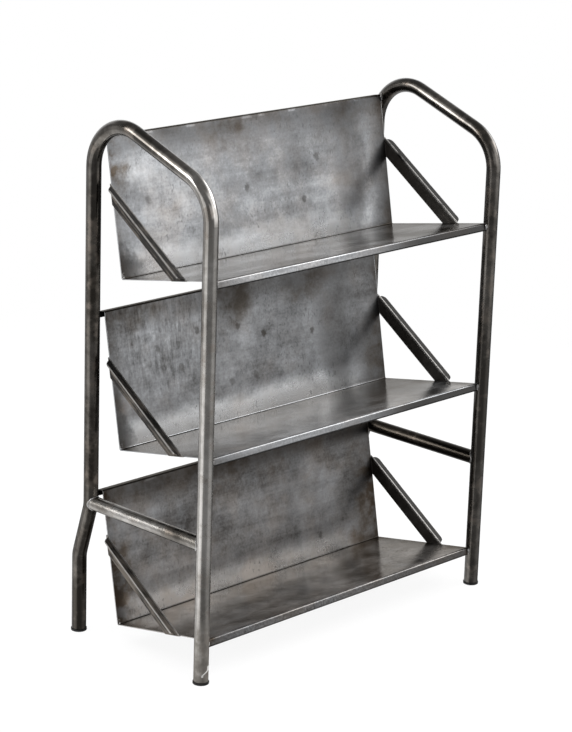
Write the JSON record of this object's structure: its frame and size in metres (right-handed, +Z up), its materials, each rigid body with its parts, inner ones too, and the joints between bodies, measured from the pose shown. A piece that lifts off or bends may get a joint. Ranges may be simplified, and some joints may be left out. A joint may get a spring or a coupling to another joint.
{
  "type": "steel library bookcase",
  "caption": "Free-standing steel library bookcase with back-tilted folded sheet shelves, corner braces and bent-tube side frames.",
  "frame": {"origin": "on the floor, midway between the four feet", "axes": "+X along the shelves to the right, +Y to the back, +Z up"},
  "size_m": [0.8118, 0.3796, 1.0328],
  "materials": {
    "frame_tube": "bare steel, dark, burnished and clear coated",
    "rung_tube": "bare steel, patchy, burnished and clear coated",
    "shelf_sheet": "bare sheet steel, mottled, burnished and clear coated",
    "brace_angle": "dark mill scale with worn edges",
    "weld_bead": "weld metal, wire brushed",
    "foot_plug": "black, matte"
  },
  "bodies": {
    "root": {"left_side_frame": "frame_tube", "left_side_rung": "rung_tube", "front_left_foot_cap": "foot_plug", "left_rung_front_weld": "weld_bead", "rear_left_foot_cap": "foot_plug", "left_rung_rear_weld": "weld_bead", "right_side_frame": "frame_tube", "right_side_rung": "rung_tube", "front_right_foot_cap": "foot_plug", "right_rung_front_weld": "weld_bead", "rear_right_foot_cap": "foot_plug", "right_rung_rear_weld": "weld_bead", "top_shelf": "shelf_sheet", "top_left_brace": "brace_angle", "top_shelf_left_front_weld": "weld_bead", "top_shelf_left_rear_weld": "weld_bead", "top_right_brace": "brace_angle", "top_shelf_right_front_weld": "weld_bead", "top_shelf_right_rear_weld": "weld_bead", "middle_shelf": "shelf_sheet", "middle_left_brace": "brace_angle", "middle_shelf_left_front_weld": "weld_bead", "middle_shelf_left_rear_weld": "weld_bead", "middle_right_brace": "brace_angle", "middle_shelf_right_front_weld": "weld_bead", "middle_shelf_right_rear_weld": "weld_bead", "bottom_shelf": "shelf_sheet", "bottom_left_brace": "brace_angle", "bottom_shelf_left_front_weld": "weld_bead", "bottom_shelf_left_rear_weld": "weld_bead", "bottom_right_brace": "brace_angle", "bottom_shelf_right_front_weld": "weld_bead", "bottom_shelf_right_rear_weld": "weld_bead"}
  },
  "joints": []
}
